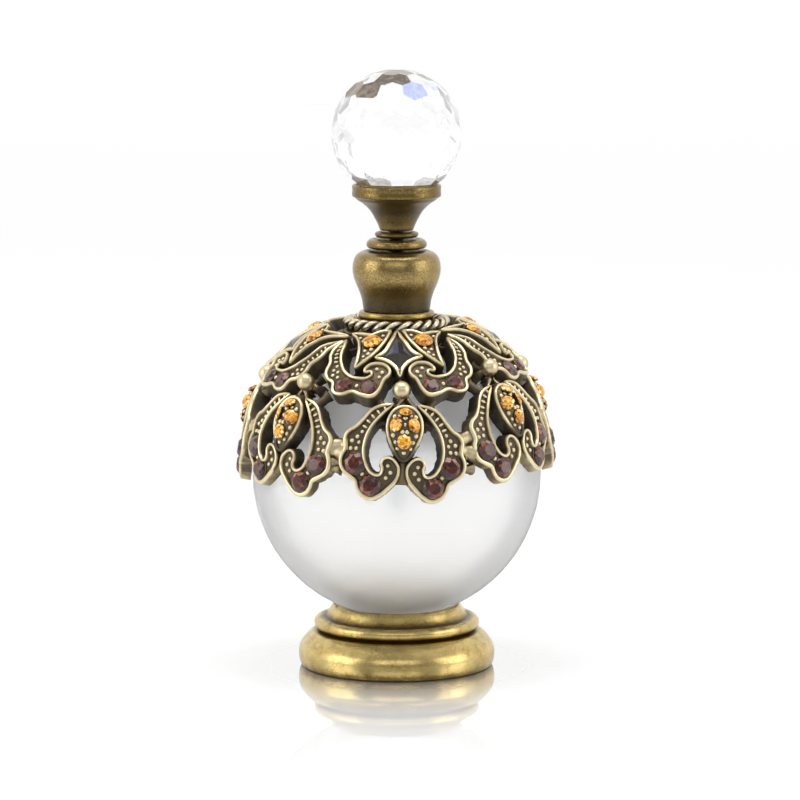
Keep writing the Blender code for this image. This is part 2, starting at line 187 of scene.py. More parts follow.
def crystal_glass():
    """Clear crystal; its facet attribute marks a few facets painted dark brown to black, as
    reflections of the brass, and blue, as fire.
    """
    mat, tree, shader = new_material("look_crystal", Roughness=0.0, IOR=1.47,
                                     Transmission_Weight=1.0)
    cloud = centred(tree, noise_map(tree, 1.5), 0.25)
    amount = math_node(tree, "ADD", attribute(tree, "facet_light"), cloud, clamp=True)
    paint(tree, shader, "Base Color", amount, [
        (0.0, (1.0, 1.0, 1.0)), (0.12, (0.98, 0.98, 0.99)), (0.40, (0.10, 0.06, 0.03)),
        (0.48, (0.004, 0.002, 0.001)), (0.58, (0.14, 0.09, 0.05)), (0.85, (0.92, 0.95, 1.0)),
        (0.92, (0.10, 0.14, 0.62)), (1.0, (0.30, 0.38, 0.92))])
    paint(tree, shader, "Alpha", amount, [(0.12, 0.78), (0.40, 0.97)])
    return mat


def rod_glass():
    """Clear glass, faintly green and uneven."""
    mat, tree, shader = new_material("look_rod_glass", Roughness=0.0, IOR=1.50,
                                     Transmission_Weight=1.0)
    broad = noise_map(tree, 6.0, 2.0)
    paint(tree, shader, "Base Color", broad, [(0.3, (0.7289, 0.8274, 0.79785)),
                                              (0.7, (0.74, 0.84, 0.81))])
    bump(tree, shader, broad, 0.2, 0.03)
    return mat


def frosted_glass():
    """Acid-etched glass, with painted shade: a greyer band round its lower half."""
    mat, tree, shader = new_material(
        "look_frosted_glass", IOR=1.15, Transmission_Weight=0.92, Subsurface_Weight=1.0,
        Subsurface_Radius=(1.0, 1.0, 1.0), Subsurface_Scale=0.006)
    fine = noise_map(tree, 0.12, 3.0)
    broad = noise_map(tree, 16.0, 2.0)
    height = node(tree, "SeparateXYZ", {0: coordinates(tree)}).outputs["Z"]
    # painted shade: a greyer band round the globe's lower half, broken up by noise
    shade_band = math_node(tree, "MULTIPLY", math_node(tree, "SUBTRACT", height, SHADE_BAND_Z * MM), 110.0)
    shade_band = math_node(tree, "ADD", math_node(tree, "ABSOLUTE", shade_band, 0.0),
                     centred(tree, broad, 0.9), clamp=True)
    paint(tree, shader, "Base Color", shade_band, [(0.0, (0.95, 0.94, 0.925)),
                                             (0.8, (0.995, 0.995, 0.995))])
    paint(tree, shader, "Roughness", fine, [(0.3, 0.48), (0.7, 0.62)])
    bump(tree, shader, fine, 0.12, 0.02)
    return mat


def moulded(name, low, high, roughness, grain):
    """Plain moulded or felted stuff with a fine grain."""
    mat, tree, shader = new_material(name, Roughness=roughness)
    fine = noise_map(tree, grain, 4.0)
    paint(tree, shader, "Base Color", fine, [(0.3, low), (0.7, high)])
    bump(tree, shader, fine, 0.3, grain * 0.2)
    return mat


CASTING = brass("look_cast_brass", (
    (0.022, 0.016, 0.010), (0.20, 0.155, 0.095), (0.76, 0.655, 0.42)), (0.50, 0.36), 0.40, 0.46, 0.16)
CAP_BRASS = brass("look_cap_brass", (
    (0.024, 0.016, 0.004), (0.19, 0.130, 0.042), (0.60, 0.455, 0.21)), (0.36, 0.20), 1.5, 0.25, 0.22)
FOOT_BRASS = brass("look_foot_brass", (
    (0.030, 0.018, 0.005), (0.22, 0.148, 0.042), (0.64, 0.485, 0.19)), (0.40, 0.23), 1.2, 0.80, 0.26)
ROPE_BRASS = brass("look_rope_brass", (
    (0.014, 0.011, 0.009), (0.17, 0.14, 0.10), (0.70, 0.62, 0.45)), (0.50, 0.34), 0.30, 0.25, 0.2)
# the brown stone's top stops are a painted orange glint and a painted lilac reflection
BROWN = gem("look_brown_stone", [
    (0.0, (0.006, 0.0015, 0.0012)), (0.35, (0.032, 0.008, 0.005)), (0.6, (0.080, 0.018, 0.011)),
    (0.8, (0.20, 0.042, 0.018)), (0.9, (0.38, 0.09, 0.025)), (1.0, (0.30, 0.17, 0.16))], 0.4)
# the amber's top stops are painted glints, up to near white
AMBER = gem("look_amber_stone", [
    (0.0, (0.02, 0.006, 0.001)), (0.22, (0.22, 0.065, 0.003)), (0.45, (0.58, 0.22, 0.008)),
    (0.66, (0.86, 0.42, 0.02)), (0.84, (1.0, 0.66, 0.12)), (1.0, (1.0, 0.90, 0.62))], 0.9)
# the smoky stone's top stop is the painted light on its upper facets
SMOKY = gem("look_smoky_stone", [
    (0.0, (0.020, 0.014, 0.003)), (0.5, (0.030, 0.028, 0.032)), (1.0, (0.12, 0.12, 0.16))], 0.3)
FROSTED = frosted_glass()
CRYSTAL = crystal_glass()
ROD_GLASS = rod_glass()
PLASTIC = moulded("look_liner_plastic", (0.78, 0.77, 0.72), (0.86, 0.85, 0.81), 0.42, 0.25)
FOAM = moulded("look_seal_foam", (0.70, 0.70, 0.68), (0.84, 0.84, 0.82), 0.75, 0.12)
FELT = moulded("look_felt", (0.020, 0.017, 0.014), (0.060, 0.052, 0.044), 0.95, 0.18)


# ---- pieces

def linked(name, data):
    """A new object in the scene."""
    made = bpy.data.objects.new(name, data)
    bpy.context.scene.collection.objects.link(made)
    return made


def add_piece(name, mesh, mat, body="bottle", replaces=(), sharp=42.0):
    """Link a mesh as a piece that rides on a body and takes its finish from a slot."""
    mesh.materials.clear()
    mesh.materials.append(mat)
    mesh.shade_smooth()
    mesh.set_sharp_from_angle(angle=math.radians(sharp))
    piece = linked(name, mesh)
    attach(piece, body)
    if replaces:
        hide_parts(*replaces)


def mesh_from(name, points, faces, label, values, domain="POINT", merge=False):
    """A mesh from points in millimetres, with one float attribute and its faces turned outward."""
    mesh = bpy.data.meshes.new(name)
    mesh.from_pydata([Vector(point) * MM for point in points], [], faces)
    mesh.attributes.new(label, "FLOAT", domain).data.foreach_set("value", values)
    shape = bmesh.new()
    shape.from_mesh(mesh)
    if merge:
        bmesh.ops.remove_doubles(shape, verts=shape.verts, dist=1e-7)
    bmesh.ops.recalc_face_normals(shape, faces=shape.faces)
    shape.to_mesh(mesh)
    shape.free()
    return mesh


def ring_faces(rows, sides, first=0, closed=False):
    """Quads between rows of points, each row a ring."""
    faces = []
    for row in range(rows if closed else rows - 1):
        here, below = first + row * sides, first + (row + 1) % rows * sides
        for side in range(sides):
            after = (side + 1) % sides
            faces.append((here + side, here + after, below + after, below + side))
    return faces


def circle(radius, sides):
    """Points (x, y) round a circle."""
    angles = [2 * math.pi * side / sides for side in range(sides)]
    return [(radius * math.cos(angle), radius * math.sin(angle)) for angle in angles]


def sampled(points, spacing, closed=True):
    """Dense points on a smooth curve; a point with a third value is a corner."""
    places = [Vector(point[:2]) for point in points]
    count = len(places)
    arms = []
    for i, place in enumerate(places):
        before, after = places[i - 1] - place, places[(i + 1) % count] - place
        end = not closed and i in (0, count - 1)
        if end or len(points[i]) == 3:
            arms.append((place + before / 3, place + after / 3))
        else:
            along = (after.normalized() - before.normalized()).normalized()
            arms.append((place - along * before.length * 0.39, place + along * after.length * 0.39))
    dense = []
    for i in range(count if closed else count - 1):
        j = (i + 1) % count
        steps = max(2, round((places[j] - places[i]).length / spacing))
        dense += geometry.interpolate_bezier(places[i], arms[i][1], arms[j][0], places[j],
                                             steps + 1)[:-1]
    if not closed:
        dense.append(places[-1])
    return dense


def lathe(name, profile, mat, replaces, body="cap", patina_and_shade_places=(), closed=False, spacing=0.3,
          steps=TURN_STEPS, wear_and_light_level=1.0):
    """A turned piece. profile lists (radius, height[, corner]) down the outer side.

    The wear value falls to nothing at each dark place, each (radius, height, reach): patina in the
    real grooves, painted shade where a piece lies in shade.
    """
    line = sampled(profile, spacing, closed)
    points, wear = [], []
    for place in line:
        # nearness to the dark places, darkened by patina in grooves and by painted shade elsewhere
        clear_of_patina_and_shade = min([(place - Vector((r, z))).length / reach for r, z, reach in patina_and_shade_places] + [1.0])
        points += [(x, y, place.y) for x, y in circle(place.x, steps)]
        wear += [wear_and_light_level * clear_of_patina_and_shade ** 0.7] * steps
    faces = ring_faces(len(line), steps, closed=closed)
    mesh = mesh_from(name, points, faces, "wear", wear, merge=True)
    add_piece(name, mesh, mat, body, replaces)


def span(name):
    """Lowest and highest z of a CAD node, in millimetres."""
    low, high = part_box(name)
    return low.z / MM, high.z / MM


def below(top, profile):
    """A profile whose heights are measured down from a top."""
    return [(point[0], top - point[1], *point[2:]) for point in profile]


def arc(radius, centre_z, start, count):
    """Points (r, z) on an arc round the axis, from an angle in degrees down to the bottom."""
    angles = [math.radians(start - (start + 90.0) * i / count) for i in range(count)]
    points = [(radius * math.cos(a), centre_z + radius * math.sin(a)) for a in angles]
    return points + [(0.0, centre_z - radius)]


# ---- relief drawn flat

class Relief:
    """Geometry of a casting drawn flat: (u, v, distance from the globe's centre), with wear and
    painted light.
    """

    def __init__(self):
        self.points, self.wear, self.faces = [], [], []

    def add(self, points, wear, faces):
        first = len(self.points)
        self.points += points
        self.wear += wear
        self.faces += [tuple(first + i for i in face) for face in faces]


def counterclockwise(loop):
    area = sum(loop[i - 1].cross(loop[i]) for i in range(len(loop)))
    return loop if area > 0 else loop[::-1]


def inward_normals(loop):
    normals = []
    for i in range(len(loop)):
        along = loop[(i + 1) % len(loop)] - loop[i - 1]
        normals.append(Vector((-along.y, along.x)).normalized())
    return normals


def clearances(loop, normals, most):
    """At each point, the radius of the largest disc on the normal's side that touches there."""
    radii = []
    for place, normal in zip(loop, normals):
        least = most
        for other in loop:
            gap = other - place
            reach = gap.dot(normal)
            if reach > 1e-6:
                least = min(least, gap.length_squared / (2 * reach))
        radii.append(least)
    count = len(radii)
    return [(radii[i - 1] + radii[i] * 2 + radii[(i + 1) % count]) / 4 for i in range(count)]


def filled(loop, spacing):
    """Points inside a loop and triangles over all of them; the loop's own points come first."""
    low_u, high_u = min(p.x for p in loop), max(p.x for p in loop)
    low_v, high_v = min(p.y for p in loop), max(p.y for p in loop)
    inner = []
    for row in range(int((high_v - low_v) / spacing) + 1):
        for column in range(int((high_u - low_u) / spacing) + 1):
            place = Vector((low_u + (column + 0.5 * (row % 2)) * spacing, low_v + row * spacing))
            if min((place - p).length for p in loop) > spacing * 0.45:
                inner.append(place)
    places = loop + inner
    points, _, triangles, origins, _, _ = geometry.delaunay_2d_cdt(
        places, [], [list(range(len(loop)))], 1, 1e-5)
    order = []
    for point, old in zip(points, origins):
        if not old:
            places.append(point)
        order.append(old[-1] if old else len(places) - 1)
    return places, [tuple(order[i] for i in triangle) for triangle in triangles]


def rough(place, size, amount):
    """Smooth random value between plus and minus an amount."""
    return noise.noise(Vector((place[0] / size, place[1] / size, 0.0))) * amount


# Section of a raised rim, from its outer edge to the field: offset, drop and wear
RIM_SECTION = ((-1.0, 0.34, 0.85), (-0.66, 0.09, 1.0), (0.0, 0.0, 1.0), (0.66, 0.09, 0.98),
               (1.0, 0.34, 0.55))
# Wall under the rim: share of the flare, share of the depth, and wear, near nothing for patina and
# painted shade on the wall
WALL_SECTION = ((1.0, 1.0, 0.0), (0.75, 0.8, 0.02), (0.4, 0.45, 0.05), (0.1, 0.12, 0.2))


def plate(relief, outline, rim_at, field_at, bottom, flare=0.5, lit_wall=0.0, field_wear=0.23,
          rim_half=RIM_HALF, fade=None):
    """A closed casting: ragged flared wall, raised rim along the outline, recessed field.

    The argument after flare sets the painted light on the wall: how pale it is drawn where it faces
    down, and out at the sides. fade gives the share of the rim's wear left at a height v.
    """
    loop = counterclockwise(sampled(outline, OUTLINE_STEP))
    count, most = len(loop), 3.0
    normals = inward_normals(loop)
    inside = clearances(loop, normals, most)
    outside = clearances(loop, [-normal for normal in normals], most)
    field_offset = rim_half * 1.45
    narrow = [min(1.0, 0.9 * room / field_offset) for room in inside]
    spread = [min(1.0, 0.9 * room / (flare + rim_half)) for room in outside]
    points, wear, lit_lobes = [], [], []
    # painted light: the wall round the bottom of a lobe, and at the outer sides, is drawn paler, as
    # lit; the same share widens the rim there
    for place, normal in zip(loop, normals):
        down = max(0.0, normal.y) * clamped((-place.y - 1.0) / 2)
        aside = max(0.0, -math.copysign(normal.x, normal.x * place.x))
        aside *= clamped((abs(place.x) - 8.0) / 2)
        lit_lobes.append(max(down, 0.7 * aside) * lit_wall)
    for share, depth, wear_and_light_level in WALL_SECTION:
        for i in range(count):
            ragged = rough(loop[i], 1.1, 0.25 * share) + rough(loop[i], 0.45, 0.12 * share)
            lip = rim_half * (1.0 + LOBE_LIP * lit_lobes[i])
            place = loop[i] - normals[i] * (lip + flare * share + ragged) * spread[i]
            top = rim_at(*loop[i]) - 0.3
            points.append((place.x, place.y, top + (bottom - top) * depth + ragged * 0.6))
            # patina and painted shade on the deep wall, lifted where the wall is painted as lit
            wear.append(max(wear_and_light_level, lit_lobes[i] * (1.0 - 0.3 * share)))
    for share, drop, wear_and_light_level in RIM_SECTION:
        for i in range(count):
            room = spread[i] * (1.0 + LOBE_LIP * lit_lobes[i]) if share < 0 else narrow[i]
            left = fade(loop[i].y) if fade else 1.0
            place = loop[i] + normals[i] * rim_half * share * room
            points.append((place.x, place.y, rim_at(*loop[i]) - drop + rough(loop[i], 1.7, 0.05)))
            wear.append(wear_and_light_level * (0.15 + 0.85 * left))
    field_loop = [loop[i] + normals[i] * field_offset * narrow[i] for i in range(count)]
    places, triangles = filled(field_loop, FIELD_STEP)
    rings = len(WALL_SECTION) + len(RIM_SECTION)
    for i, place in enumerate(places):
        height = field_at(*place)
        if i < count:
            height = rim_at(*loop[i]) - (rim_at(*loop[i]) - height) * (0.35 + 0.65 * narrow[i])
        points.append((place.x, place.y, height + rough(place, 0.8, 0.05)))
        wear.append(field_wear)
    faces = ring_faces(rings + 1, count)
    faces += [tuple(rings * count + i for i in triangle) for triangle in triangles]
    foot_loop = [Vector(point[:2]) for point in points[:count]]
    foot_places, foot_triangles = filled(foot_loop, 1.6)
    first = len(points)
    order = list(range(count)) + [first + i for i in range(len(foot_places) - count)]
    points += [(place.x, place.y, bottom) for place in foot_places[count:]]
    wear += [0.0] * (len(foot_places) - count)
    faces += [tuple(order[i] for i in reversed(triangle)) for triangle in foot_triangles]
    relief.add(points, wear, faces)


def turned(relief, u, v, rows, sides, angle=0.0, stretch=1.0):
    """A small solid of stacked rings (radius, height, wear); an end of no radius is a point.

    stretch lengthens it along a direction, angle degrees from u.
    """
    turn = Matrix.Rotation(math.radians(angle), 2)
    rings = [row for row in rows if row[0]]
    points, wear, faces = [], [], ring_faces(len(rings), sides)
    for radius, height, wear_and_light_level in rings:
        for x, y in circle(radius, sides):
            flat = turn @ Vector((x * stretch, y))
            points.append((u + flat.x, v + flat.y, height))
            wear.append(wear_and_light_level)
    for (radius, height, wear_and_light_level), first, way in ((rows[0], 0, -1), (rows[-1], len(points) - sides, 1)):
        loop = list(range(first, first + sides))[::way]
        if radius:
            faces.append(tuple(loop))
        else:
            faces += [(loop[k - 1], loop[k], len(points)) for k in range(sides)]
            points.append((u, v, height))
            wear.append(wear_and_light_level)
    relief.add(points, wear, faces)


def granule(relief, u, v, radius, level, angle=0.0, stretch=1.0, rise=0.9):
    """A cast granule, or a rung if it is stretched."""
    rows = [(radius, level - 0.15, 0.15)]
    for ring in (1, 2, 3):
        tilt = math.pi * ring / 8
        wear_and_light_level = 0.15 + 0.85 * min(1.0, ring / 1.6)
        rows.append((radius * math.cos(tilt), level + radius * rise * math.sin(tilt), wear_and_light_level))
    turned(relief, u, v, rows + [(0.0, level + radius * rise, 1.0)], 12, angle, stretch)


def ball(relief, u, v, radius, level):
    """A full ball bead."""
    rows = [(0.0, level - radius, 0.2)]
    for ring in range(1, 12):
        tilt = math.pi * (ring / 12 - 0.5)
        rows.append((radius * math.cos(tilt), level + radius * math.sin(tilt),
                     min(0.88, 0.1 + 2.2 * ring / 12)))
    turned(relief, u, v, rows + [(0.0, level + radius, 0.88)], 24)


def seat(relief, u, v, radius, level, field):
    """A low collar that a stone is set in."""
    turned(relief, u, v, ((radius + 0.22, field - 0.1, 0.1), (radius + 0.14, level - 0.08, 0.3),
                          (radius + 0.02, level, 0.5), (radius - 0.12, level - 0.1, 0.2),
                          (radius - 0.2, field - 0.1, 0.0)), 24)


def strut(relief, ends, width, low, high, wear_and_light_level, end_high=None):
    """A rounded bar between two places (u, v, u, v); end_high is its height at its end."""
    steps = 6
    start, end = Vector(ends[:2]), Vector(ends[2:])
    side = Vector((start.y - end.y, end.x - start.x)).normalized() * width / 2
    section = ((-1.0, 0.0), (-0.9, 0.6), (-0.5, 0.93), (0.0, 1.0), (0.5, 0.93), (0.9, 0.6),
               (1.0, 0.0))
    points, wear = [], []
    for step in range(steps + 1):
        along = start.lerp(end, step / steps)
        waist = 1.0 - 0.30 * math.sin(math.pi * step / steps) + rough(along, 0.9, 0.12)
        top = high if end_high is None else high + (end_high - high) * step / steps
        for across, rise in section:
            place = along + side * across * waist
            points.append((place.x, place.y, low + (top - low) * rise * waist))
            wear.append(wear_and_light_level * rise)
    size = len(section)
    caps = [tuple(reversed(range(size))), tuple(steps * size + i for i in range(size))]
    relief.add(points, wear, ring_faces(steps + 1, size) + caps)


def mirrored(outline):
    return [(-point[0], *point[1:]) for point in reversed(outline)]


def both_halves(half):
    """A symmetric outline from the half that starts and ends on the middle line."""
    return half + mirrored(half[1:-1])


# ---- wrapping round the globe

class Wrap:
    """The place on the globe that a casting is wrapped round: the CAD's own.

    middle is a direction from the globe's centre, v millimetres up the casting's middle line.
    """

    def __init__(self, middle, side, v, wrap_r):
        self.side, self.wrap_r = side, wrap_r
        self.out = Matrix.Rotation(v / wrap_r, 3, side) @ middle
        self.up = self.out.cross(side)

    def place(self, u, v, radius):
        distance = math.hypot(u, v)
        direction = self.out
        if distance > 1e-9:
            angle = distance / self.wrap_r
            direction = (self.out * math.cos(angle)
                         + (self.side * u + self.up * v) * math.sin(angle) / distance)
        return direction * radius + GLOBE

    def mesh(self, name, relief):
        points = [self.place(*point) for point in relief.points]
        return mesh_from(name, points, relief.faces, "wear", relief.wear)


# ---- cut stones

def round_stone(chance):
    """Unit-radius round stone: table, star, kite and girdle facets, with a painted light value for
    each.
    """
    def ring(radius, height, shift):
        return [Vector((radius * math.cos(math.pi * (k + shift) / 4),
                        radius * math.sin(math.pi * (k + shift) / 4), height)) for k in range(8)]

    points = ring(0.56, 0.36, 0.0) + ring(0.80, 0.22, 0.5) + ring(1.0, 0.02, 0.0)
    points += ring(1.0, 0.02, 0.5) + ring(1.0, -0.10, 0.0) + ring(1.0, -0.10, 0.5)
    points += [Vector((0.0, 0.0, 0.36)), Vector((0.0, 0.0, -0.62))]
    faces, facet_lights = [], []
    flash = chance.randrange(8)
    for k in range(8):
        j = (k + 1) % 8
        near = min((k - flash) % 8, (flash - k) % 8) / 4
        faces += [(48, k, j), (k, 8 + k, j), (k, 8 + (k - 1) % 8, 16 + k, 8 + k),
                  (8 + k, 16 + k, 24 + k), (8 + k, 24 + k, 16 + j),
                  (16 + k, 32 + k, 40 + k, 24 + k), (24 + k, 40 + k, 32 + j, 16 + j),
                  (49, 40 + k, 32 + k), (49, 32 + j, 40 + k)]
        # painted light of each facet: random for most, kites brightest beside the flash facet as a
        # painted glint, pavilion dark
        facet_lights += [0.35 + 0.35 * chance.random(), 0.15 + 0.75 * chance.random(),
                  0.80 - 0.65 * near + 0.25 * chance.random(),
                  0.75 * chance.random(), 0.75 * chance.random(), 0.1, 0.1, 0.1, 0.1]
    return points, faces, facet_lights


class Stones:
    """Cut stones gathered into one piece."""

    def __init__(self, seed):
        self.chance = random.Random(seed)
        self.points, self.faces, self.facet_lights = [], [], []

    def add(self, centre, outward, across, radius):
        """A round stone at a place, facing outward, turned at random."""
        up = outward.cross(across).normalized()
        across = up.cross(outward)
        turn = self.chance.random() * math.pi
        first = len(self.points)
        points, faces, facet_lights = round_stone(self.chance)
        for point in points:
            flat = Matrix.Rotation(turn, 2) @ point.xy
            self.points.append(centre + (across * flat.x + up * flat.y + outward * point.z) * radius)
        self.faces += [tuple(first + i for i in face) for face in faces]
        self.facet_lights += facet_lights

    def piece(self, name, mat, slot, replaces=()):
        mesh = mesh_from(name, self.points, self.faces, "facet_light", self.facet_lights, "FACE")
        add_piece(name, mesh, mat, "bottle", replaces, sharp=4.0)


def set_stone(stones, wrap, u, v, level, radius, lean_u=0.0, lean_v=0.0):
    """A stone set on a casting, leaning sideways and upwards by angles in degrees."""
    centre = wrap.place(u, v, level)
    outward = (centre - GLOBE).normalized()
    across = wrap.side
    up = outward.cross(across)
    outward = Matrix.Rotation(math.radians(lean_u), 3, up) @ outward
    outward = Matrix.Rotation(-math.radians(lean_v), 3, across) @ outward
    stones.add(centre, outward, across, radius)


# ---- lower castings

LOWER_SCROLL = (
    (2.5, 11.5, 1), (4.5, 11.3), (6.2, 10.5), (8.3, 8.1), (9.5, 6.9), (10.7, 6.2), (11.4, 5.1),
    (11.4, 3.8), (11.35, 2.7), (12.0, 1.4), (12.2, 0.0), (11.6, -1.5), (10.2, -2.6), (9.2, -3.4),
    (8.7, -5.0), (7.5, -6.4), (5.9, -6.8), (4.4, -6.1), (2.6, -4.5), (1.3, -3.0), (0.8, -1.2),
    (1.3, 0.2), (2.5, 1.15), (3.6, 1.05), (4.15, 0.2), (3.95, -1.1), (4.5, -2.15), (5.8, -2.05),
    (7.1, -0.5), (7.7, 1.6), (7.6, 4.0), (6.8, 6.4), (5.2, 8.7),
)
DROP = both_halves([
    (0.0, 11.1), (1.7, 10.6), (2.85, 9.2), (3.3, 7.4), (3.2, 5.9), (2.6, 4.1), (1.8, 2.6),
    (1.0, 1.3), (0.0, 0.7)])
# Granules of the right scroll: place and radius; the tail's rungs: place and direction
SCROLL_GRANULES = (
    (8.2, 6.15, 0.42), (9.1, 5.15, 0.48), (8.75, 4.05, 0.42), (10.15, 4.35, 0.50),
    (9.25, 2.85, 0.48), (10.4, 2.85, 0.50), (7.9, -2.15, 0.52), (2.95, -0.35, 0.45),
    (2.35, -1.65, 0.50), (3.25, -2.75, 0.48),
)
SCROLL_RUNGS = ((3.9, 10.75, 62.0), (5.2, 10.05, 52.0), (6.2, 9.15, 45.0), (7.05, 8.15, 36.0),
                (7.7, 7.1, 28.0))
# Granules of the drop, right half and middle
DROP_GRANULES = (
    (0.0, 8.5, 0.50), (0.0, 7.25, 0.40), (0.42, 5.9, 0.46), (2.1, 5.35, 0.50), (1.95, 8.9, 0.48),
    (1.25, 2.95, 0.38), (0.0, 2.2, 0.46), (1.65, 4.1, 0.42), (1.05, 9.0, 0.36),
)
# Amber stones of the drop: place, radius and lean sideways and up
DROP_AMBERS = ((0.0, 9.75, 1.25, 0.0, 38.0), (1.72, 7.25, 1.42, 34.0, 0.0),
               (-1.72, 7.25, 1.42, -34.0, 0.0), (0.0, 4.15, 1.42, 0.0, -12.0))


def lower_rim(u, v):
    """Height of a lower casting's rims, rising towards the neck."""
    del u
    return 30.55 + 1.3 * clamped((v + 7.0) / 18.0)


def lower_field(u, v):
    return lower_rim(u, v) - RIM_RISE


def drop_rim(u, v):
    return lower_rim(u, v) + 0.15 + 0.2 * min(max(v / 6.0, -1.0), 1.0)


def drop_fade(v):
    """The drop's rim dies away into the stem below it."""
    return clamped((v - 1.6) / 2.4)


def drop_dome(u, v):
    dome = 1.0 - (u / 3.3) ** 2 - ((v - 6.6) / 5.6) ** 2
    return drop_rim(u, v) - 0.55 + 1.25 * max(dome, 0.0)


# Bars across the stem: ends, width, height and wear
LOWER_BARS = (((0.0, 3.4, 0.0, -3.9), 3.4, 30.75, 0.42), ((-2.6, -0.9, 2.6, -0.9), 2.4, 29.7, 0.22),
              ((-1.6, -3.5, 1.6, -3.5), 1.6, 30.3, 0.75))
# Webs of the right half, the prong last: ends, width, gap to the globe, height and wear
LOWER_WEBS = (
    ((1.5, 10.2, 4.6, 10.9), 1.5, 1.0, 31.0, 0.15), ((2.6, 8.2, 5.6, 8.6), 2.6, 0.9, 30.5, 0.10),
    ((3.0, 6.9, 4.4, 7.4), 1.0, 0.9, 30.3, 0.35), ((10.9, 3.7, 14.6, 3.4), 4.6, 1.0, 31.3, 0.78),
    ((11.4, 0.0, 14.6, 0.1), 2.6, 0.8, 30.8, 0.62), ((2.3, 11.2, 0.5, 13.2), 1.3, 1.2, 31.4, 0.75),
    ((4.3, 11.0, 6.2, 14.2), 2.2, 1.4, 31.6, 0.35),
)
# Sides of the lower castings with nothing above for their prong to reach, by casting number
FREE_SIDES = {4: (-1.0,), 5: (1.0,), 6: (-1.0,)}


def lower_relief(free_sides):
    """A raised drop between two mirrored scrolls, with its granules and struts."""
    relief = Relief()
    for outline in (LOWER_SCROLL, mirrored(LOWER_SCROLL)):
        plate(relief, outline, lower_rim, lower_field, GLOBE_R + 0.45, 0.35, 1.0)
    plate(relief, DROP, drop_rim, drop_dome, GLOBE_R + 0.6, 0.25, fade=drop_fade)
    for ends, width, high, wear_and_light_level in LOWER_BARS:
        strut(relief, ends, width, GLOBE_R + 0.6, high, wear_and_light_level)
    granule(relief, 0.0, -3.2, 0.34, 29.9)
    for way in (-1.0, 1.0):
        webs = LOWER_WEBS if way not in free_sides else LOWER_WEBS[:-1]
        for (u, v, end_u, end_v), width, gap, high, wear_and_light_level in webs:
            strut(relief, (way * u, v, way * end_u, end_v), width, GLOBE_R + gap, high, wear_and_light_level)
        for u, v, radius in SCROLL_GRANULES:
            granule(relief, way * u, v, radius, lower_field(u, v))
        for u, v, angle in SCROLL_RUNGS:
            granule(relief, way * u, v, 0.30, lower_field(u, v) + 0.05, way * angle, 2.3, 1.6)
        for u, v, radius in DROP_GRANULES:
            if u or way > 0:
                granule(relief, way * u, v, radius, drop_dome(u, v))
        for u, v in ((9.45, STONE_V), (6.35, -4.3)):
            seat(relief, way * u, v, BROWN_R + 0.1, lower_rim(u, v) - 0.35, lower_field(u, v))
    return relief


def node_centre(names):
    """Mean of the vertices of some CAD nodes, in millimetres."""
    total, count = Vector(), 0
    for name in names:
        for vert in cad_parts[name].data.vertices:
            total += vert.co
            count += 1
    return total / count / MM


def lower_wrap(number):
    """A lower casting's place, from its outermost stones, right and left."""
    right, left = (node_centre([f"brown_stone_{number}{letter}"]) - GLOBE for letter in "ac")
    return Wrap((right + left).normalized(), (right - left).normalized(), STONE_V, LOWER_WRAP_R)


def upper_wrap(number):
    """An upper casting's place, from its star stone's lower and upper tips."""
    places = [vert.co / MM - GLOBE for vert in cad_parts[f"star_stone_{number}"].data.vertices]
    low = min(places, key=lambda place: place.z).normalized()
    high = max(places, key=lambda place: place.z).normalized()
    return Wrap(low, high.cross(low).normalized(), STAR_TIP_V, UPPER_WRAP_R)


def lower_castings():
    for number in range(1, LOWER_COUNT + 1):
        relief = lower_relief(FREE_SIDES.get(number, ()))
        browns = [f"brown_stone_{number}{letter}" for letter in "abcd"]
        wrap = lower_wrap(number)
        casting = wrap.mesh(f"lower_casting_{number}", relief)
        add_piece(f"lower_casting_{number}", casting, CASTING,
                  replaces=[f"lower_scrolls_{number}"])
        stones = Stones(number)
        for name in browns:
            centre = node_centre([name])
            outward = (centre - GLOBE).normalized()
            stones.add(centre - outward * GIRDLE_DROP, outward, wrap.side, BROWN_R)
        stones.piece(f"lower_browns_{number}", BROWN, "brown_stone", browns)
        ambers = Stones(number + 50)
        for u, v, radius, lean_u, lean_v in DROP_AMBERS:
            set_stone(ambers, wrap, u, v, drop_dome(u, v) + 0.25, radius, lean_u, lean_v)
        ambers.piece(f"lower_ambers_{number}", AMBER, "amber_stone")


# ---- upper castings

UPPER_SCROLL = (
    (10.2, 12.9, 1), (12.3, 11.7), (13.4, 9.6), (13.6, 7.2), (14.5, 5.2), (14.25, 3.4),
    (13.2, 2.0), (13.1, -0.3), (11.7, -1.3), (9.4, -1.3), (7.4, -2.5), (5.4, -3.0), (4.1, -1.9),
    (3.1, 0.1), (1.9, 1.6), (2.5, 3.3), (4.2, 4.15), (6.0, 3.7), (6.6, 2.6), (5.45, 2.3),
    (5.6, 1.4), (8.2, 1.4), (10.3, 3.2), (11.2, 6.0), (11.2, 8.6), (10.6, 11.0),
)
LEAF = (
    (8.5, 4.0, 1), (5.3, 6.3), (3.3, 8.7), (2.0, 11.2), (1.3, 13.6, 1), (3.0, 13.7),
    (4.9, 12.8, 1), (6.6, 13.8), (8.8, 14.8, 1), (7.8, 12.4), (7.5, 9.4), (7.9, 6.4),
)
STAR = both_halves([
    (0.0, 0.7, 1), (0.42, 2.2), (1.1, 3.4), (2.3, 4.6), (4.3, 5.7, 1), (2.7, 7.0), (1.5, 9.4),
    (0.0, 13.2, 1)])
